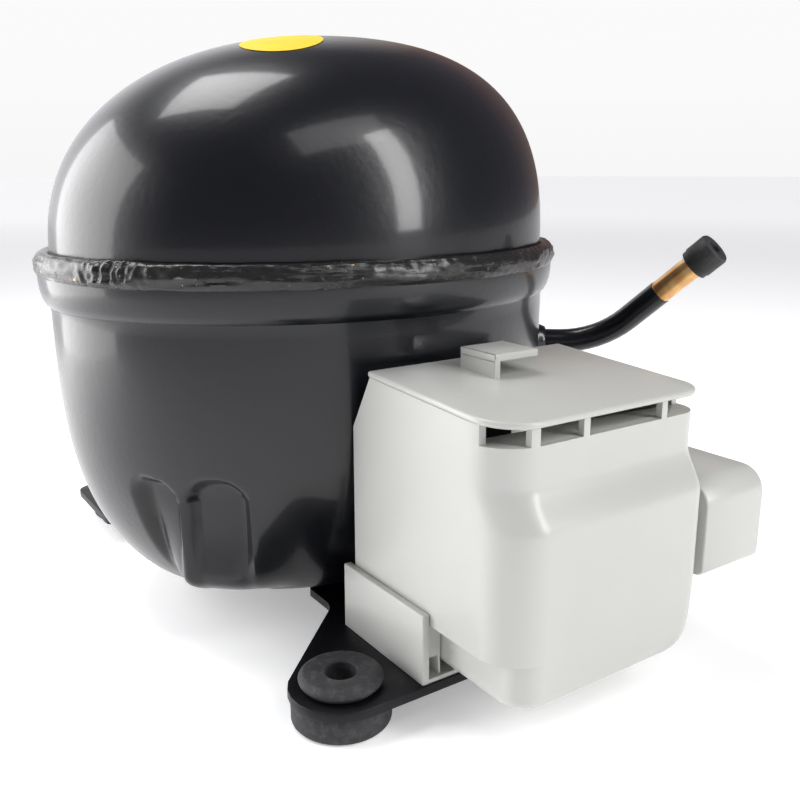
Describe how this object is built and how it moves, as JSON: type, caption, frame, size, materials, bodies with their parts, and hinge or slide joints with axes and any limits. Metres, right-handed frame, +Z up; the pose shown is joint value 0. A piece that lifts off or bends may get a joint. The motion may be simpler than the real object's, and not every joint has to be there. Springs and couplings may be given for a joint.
{
  "type": "hermetic reciprocating compressor",
  "caption": "Hermetic refrigeration compressor: black domed steel housing on a flat base plate with rubber feet, grey electrical covers, bent suction tube and a full pump inside.",
  "frame": {"origin": "centre of the four mounting holes, at the floor the grommets stand on", "axes": "+Z up, -Y towards the electrical cover, +X to the right seen from the cover side"},
  "size_m": [0.2351, 0.2712, 0.2069],
  "materials": {
    "shell_black": "gloss black enamel over pressed steel",
    "weld": "rough black painted weld bead",
    "label": "plain yellow sticker",
    "plate_black": "black painted steel plate",
    "rubber": "matte dark grey rubber",
    "plug_rubber": "matte black rubber",
    "copper": "bare copper tube",
    "cover_grey": "light warm grey moulded plastic",
    "steel": "machined steel",
    "cast": "cast iron",
    "alu": "cast aluminium",
    "lams": "stacked electrical steel",
    "wire": "enamelled copper winding",
    "bronze": "bronze",
    "glass_bead": "sealing glass",
    "dark_plastic": "black phenolic plastic",
    "white_plastic": "white plastic",
    "gasket": "composite gasket sheet"
  },
  "bodies": {
    "housing": {"lower_shell": "shell_black", "upper_shell": "shell_black", "girth_weld": "weld", "label_dot": "label", "base_plate": "plate_black", "grommet_1": "rubber", "grommet_2": "rubber", "grommet_3": "rubber", "grommet_4": "rubber", "suction_tube": "shell_black", "suction_tube_tip": "copper", "tube_welds": "shell_black", "discharge_tube": "copper", "process_tube": "copper", "terminal_header": "steel", "terminal_glass": "glass_bead", "terminal_pins": "steel", "inner_connector": "white_plastic", "start_relay": "dark_plastic", "overload_protector": "dark_plastic", "side_channel": "cover_grey", "capacitor_bracket": "steel", "run_capacitor": "white_plastic", "spring_seats": "steel", "spring_1": "steel", "spring_2": "steel", "spring_3": "steel", "spring_4": "steel", "discharge_loop": "copper"},
    "pump_unit": {"stator_core": "lams", "stator_winding": "wire", "stator_screws": "steel", "spring_stops": "steel", "crankcase": "cast", "thrust_washer": "bronze", "cylinder_gasket": "gasket", "valve_plate": "steel", "reed_stop": "steel", "head_gasket": "gasket", "cylinder_head": "alu", "head_screws": "steel", "suction_muffler": "white_plastic", "discharge_muffler": "steel"},
    "crank_rotor": {"crankshaft": "steel", "counterweight": "cast", "rotor_core": "lams", "rotor_cage": "alu", "oil_pickup": "steel"},
    "electrical_cover": {"electrical_cover": "cover_grey"},
    "capacitor_cover": {"capacitor_cover": "cover_grey"},
    "suction_plug": {"suction_plug": "plug_rubber"},
    "discharge_plug": {"discharge_plug": "plug_rubber"},
    "process_plug": {"process_plug": "plug_rubber"},
    "slider_block": {"slider_block": "steel"},
    "piston_yoke": {"piston_yoke": "steel"},
    "oil_gallery_plug": {"oil_gallery_plug": "bronze"},
    "suction_reed": {"suction_reed": "steel"},
    "discharge_reed": {"discharge_reed": "steel"}
  },
  "joints": [
    {"name": "electrical_cover_pull", "type": "slide", "parent": "housing", "child": "electrical_cover", "axis": [0, -1, 0], "range_m": [0, 0.07]},
    {"name": "capacitor_cover_pull", "type": "slide", "parent": "housing", "child": "capacitor_cover", "axis": [0, -1, 0], "range_m": [0, 0.05]},
    {"name": "suction_plug_pull", "type": "slide", "parent": "housing", "child": "suction_plug", "axis": [0.2655, -0.6916, 0.6717], "range_m": [0, 0.012]},
    {"name": "discharge_plug_pull", "type": "slide", "parent": "housing", "child": "discharge_plug", "axis": [-0.0868, 0.4924, 0.866], "range_m": [0, 0.012]},
    {"name": "process_plug_pull", "type": "slide", "parent": "housing", "child": "process_plug", "axis": [0.2347, 0.4415, 0.866], "range_m": [0, 0.012]},
    {"name": "pump_suspension", "type": "slide", "parent": "housing", "child": "pump_unit", "axis": [0, 0, 1], "range_m": [-0.0025, 0.0025], "stiffness_N_per_m": 20000, "springref_m": 0.0022, "deforming": ["spring_1", "spring_2", "spring_3", "spring_4", "discharge_loop"]},
    {"name": "crank_spin", "type": "hinge", "parent": "pump_unit", "child": "crank_rotor", "pos_m": [-0.0013, 0.002, 0.126], "axis": [0, 0, 1], "continuous": true},
    {"name": "slider_turn", "type": "hinge", "parent": "crank_rotor", "child": "slider_block", "pos_m": [0.0087, 0.002, 0.145], "axis": [0, 0, 1], "continuous": true},
    {"name": "gallery_plug_turn", "type": "hinge", "parent": "crank_rotor", "child": "oil_gallery_plug", "pos_m": [0.0037, 0.002, 0.15], "axis": [0, 0, 1], "continuous": true},
    {"name": "yoke_turn", "type": "hinge", "parent": "oil_gallery_plug", "child": "piston_yoke", "pos_m": [0.0087, 0.002, 0.145], "axis": [0, 0, 1], "continuous": true},
    {"name": "suction_reed_lift", "type": "hinge", "parent": "pump_unit", "child": "suction_reed", "pos_m": [0.05945, -0.003, 0.1355], "axis": [0, -1, 0], "range_deg": [0, 1.2], "stiffness_Nm_per_rad": 0.05},
    {"name": "discharge_reed_lift", "type": "hinge", "parent": "pump_unit", "child": "discharge_reed", "pos_m": [0.0641, 0.007, 0.1355], "axis": [0, 1, 0], "range_deg": [0, 3], "stiffness_Nm_per_rad": 0.05}
  ],
  "couplings": [
    {"joint": "slider_turn", "follows": "crank_spin", "ratio": -1},
    {"joint": "gallery_plug_turn", "follows": "crank_spin", "ratio": -2},
    {"joint": "yoke_turn", "follows": "crank_spin", "ratio": 1}
  ]
}
